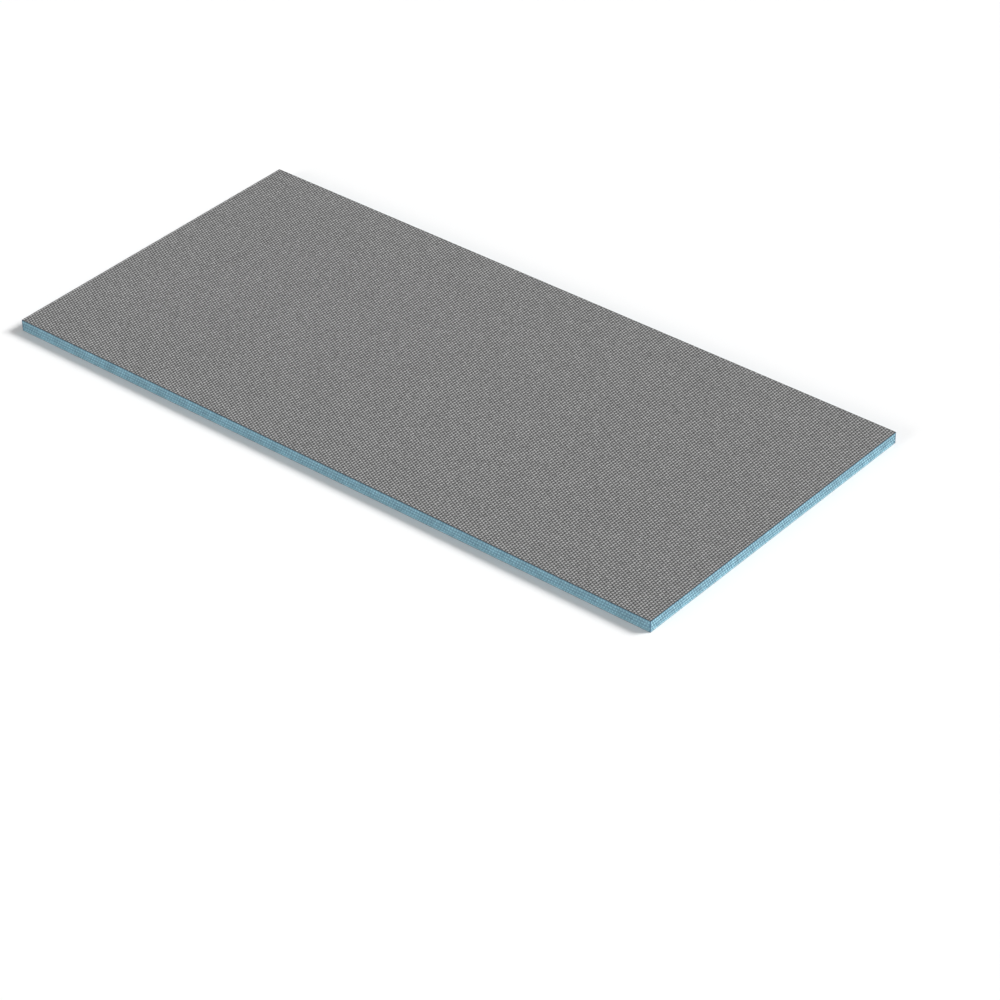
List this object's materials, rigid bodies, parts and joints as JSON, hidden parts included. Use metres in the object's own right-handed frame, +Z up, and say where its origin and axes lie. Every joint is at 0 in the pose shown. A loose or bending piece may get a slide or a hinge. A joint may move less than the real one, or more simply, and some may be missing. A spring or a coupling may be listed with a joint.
{
  "type": "foam tile backer board",
  "caption": "Flat sandwich board of blue rigid foam with a thin grey mesh-reinforced mortar coat on both faces, used as a waterproof, insulating base for tiles.",
  "frame": {"origin": "middle of the face that the board lies on, at floor height", "axes": "+X along the long side, +Y along the short side, +Z up through the thickness"},
  "size_m": [1.25, 0.6, 0.02],
  "materials": {
    "cement_mortar": "matt grey polymer-modified cement mortar, with the weave of the glass-fibre mesh showing through as small staggered humps",
    "blue_foam": "matt light blue extruded polystyrene foam, cut edge with fine lines along it"
  },
  "bodies": {
    "root": {"bottom_mortar_coat": "cement_mortar", "foam_core": "blue_foam", "top_mortar_coat": "cement_mortar"}
  },
  "joints": []
}
